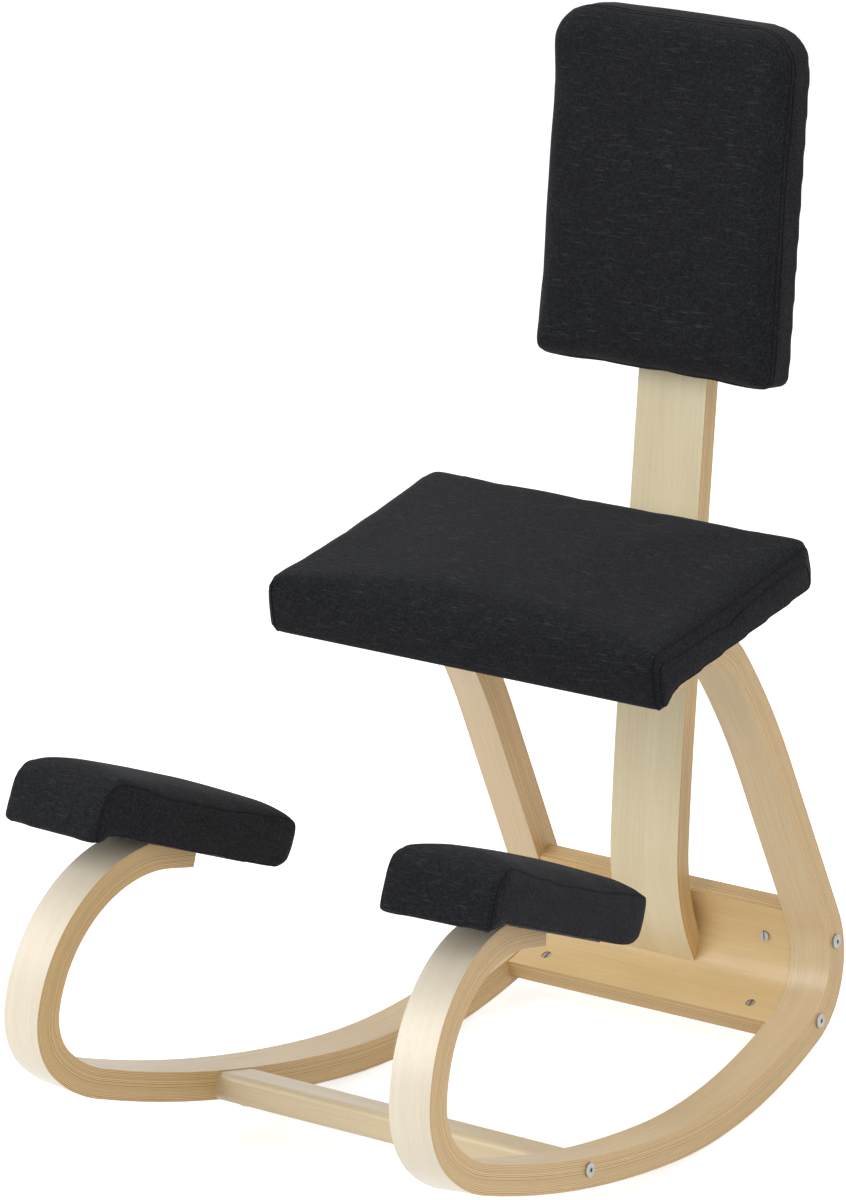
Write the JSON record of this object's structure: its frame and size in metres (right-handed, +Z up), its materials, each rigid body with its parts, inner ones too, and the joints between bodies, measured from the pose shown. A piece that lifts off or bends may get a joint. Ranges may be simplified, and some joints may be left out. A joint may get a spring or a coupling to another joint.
{
  "type": "kneeling chair",
  "caption": "Rocking kneeling chair: bent plywood runners, a padded seat, knee pads and a backrest on a plywood post.",
  "frame": {"origin": "middle of the underside of the chair's bounding box at rest, on the floor", "axes": "+Z up, the knee pads point to -Y, the backrest stands at +Y, +X is the right as seen from the front"},
  "size_m": [0.5664, 0.8301, 1.0164],
  "materials": {
    "birch_plywood": "pale birch veneer, satin clear lacquer, laminated edges",
    "board_plywood": "unfinished plywood, hidden",
    "dowel_beech": "fluted beech, hidden",
    "foam": "upholstery foam, hidden",
    "woven_cover": "charcoal plain weave with slubs",
    "dust_cloth": "thin black non-woven cloth",
    "zinc_steel": "zinc plated"
  },
  "bodies": {
    "root": {"backrest_board": "board_plywood", "backrest_bolts": "zinc_steel", "backrest_cover": "woven_cover", "backrest_dust_cover": "dust_cloth", "backrest_foam": "foam", "backrest_post": "birch_plywood", "backrest_tee_nuts": "zinc_steel", "backrest_washers": "zinc_steel", "crossbar_barrel_nuts": "zinc_steel", "crossbar_bolts": "zinc_steel", "crossbar_dowels": "dowel_beech", "front_crossbar": "birch_plywood", "knee_pad_bolts": "zinc_steel", "knee_pad_tee_nuts": "zinc_steel", "knee_pad_washers": "zinc_steel", "left_knee_pad_board": "board_plywood", "left_knee_pad_cover": "woven_cover", "left_knee_pad_dust_cover": "dust_cloth", "left_knee_pad_foam": "foam", "left_runner": "birch_plywood", "post_screws": "zinc_steel", "rear_panel": "birch_plywood", "rear_panel_barrel_nuts": "zinc_steel", "rear_panel_bolts": "zinc_steel", "right_knee_pad_board": "board_plywood", "right_knee_pad_cover": "woven_cover", "right_knee_pad_dust_cover": "dust_cloth", "right_knee_pad_foam": "foam", "right_runner": "birch_plywood", "seat_board": "board_plywood", "seat_bolts": "zinc_steel", "seat_cover": "woven_cover", "seat_dust_cover": "dust_cloth", "seat_foam": "foam", "seat_tee_nuts": "zinc_steel", "seat_washers": "zinc_steel"}
  },
  "joints": []
}
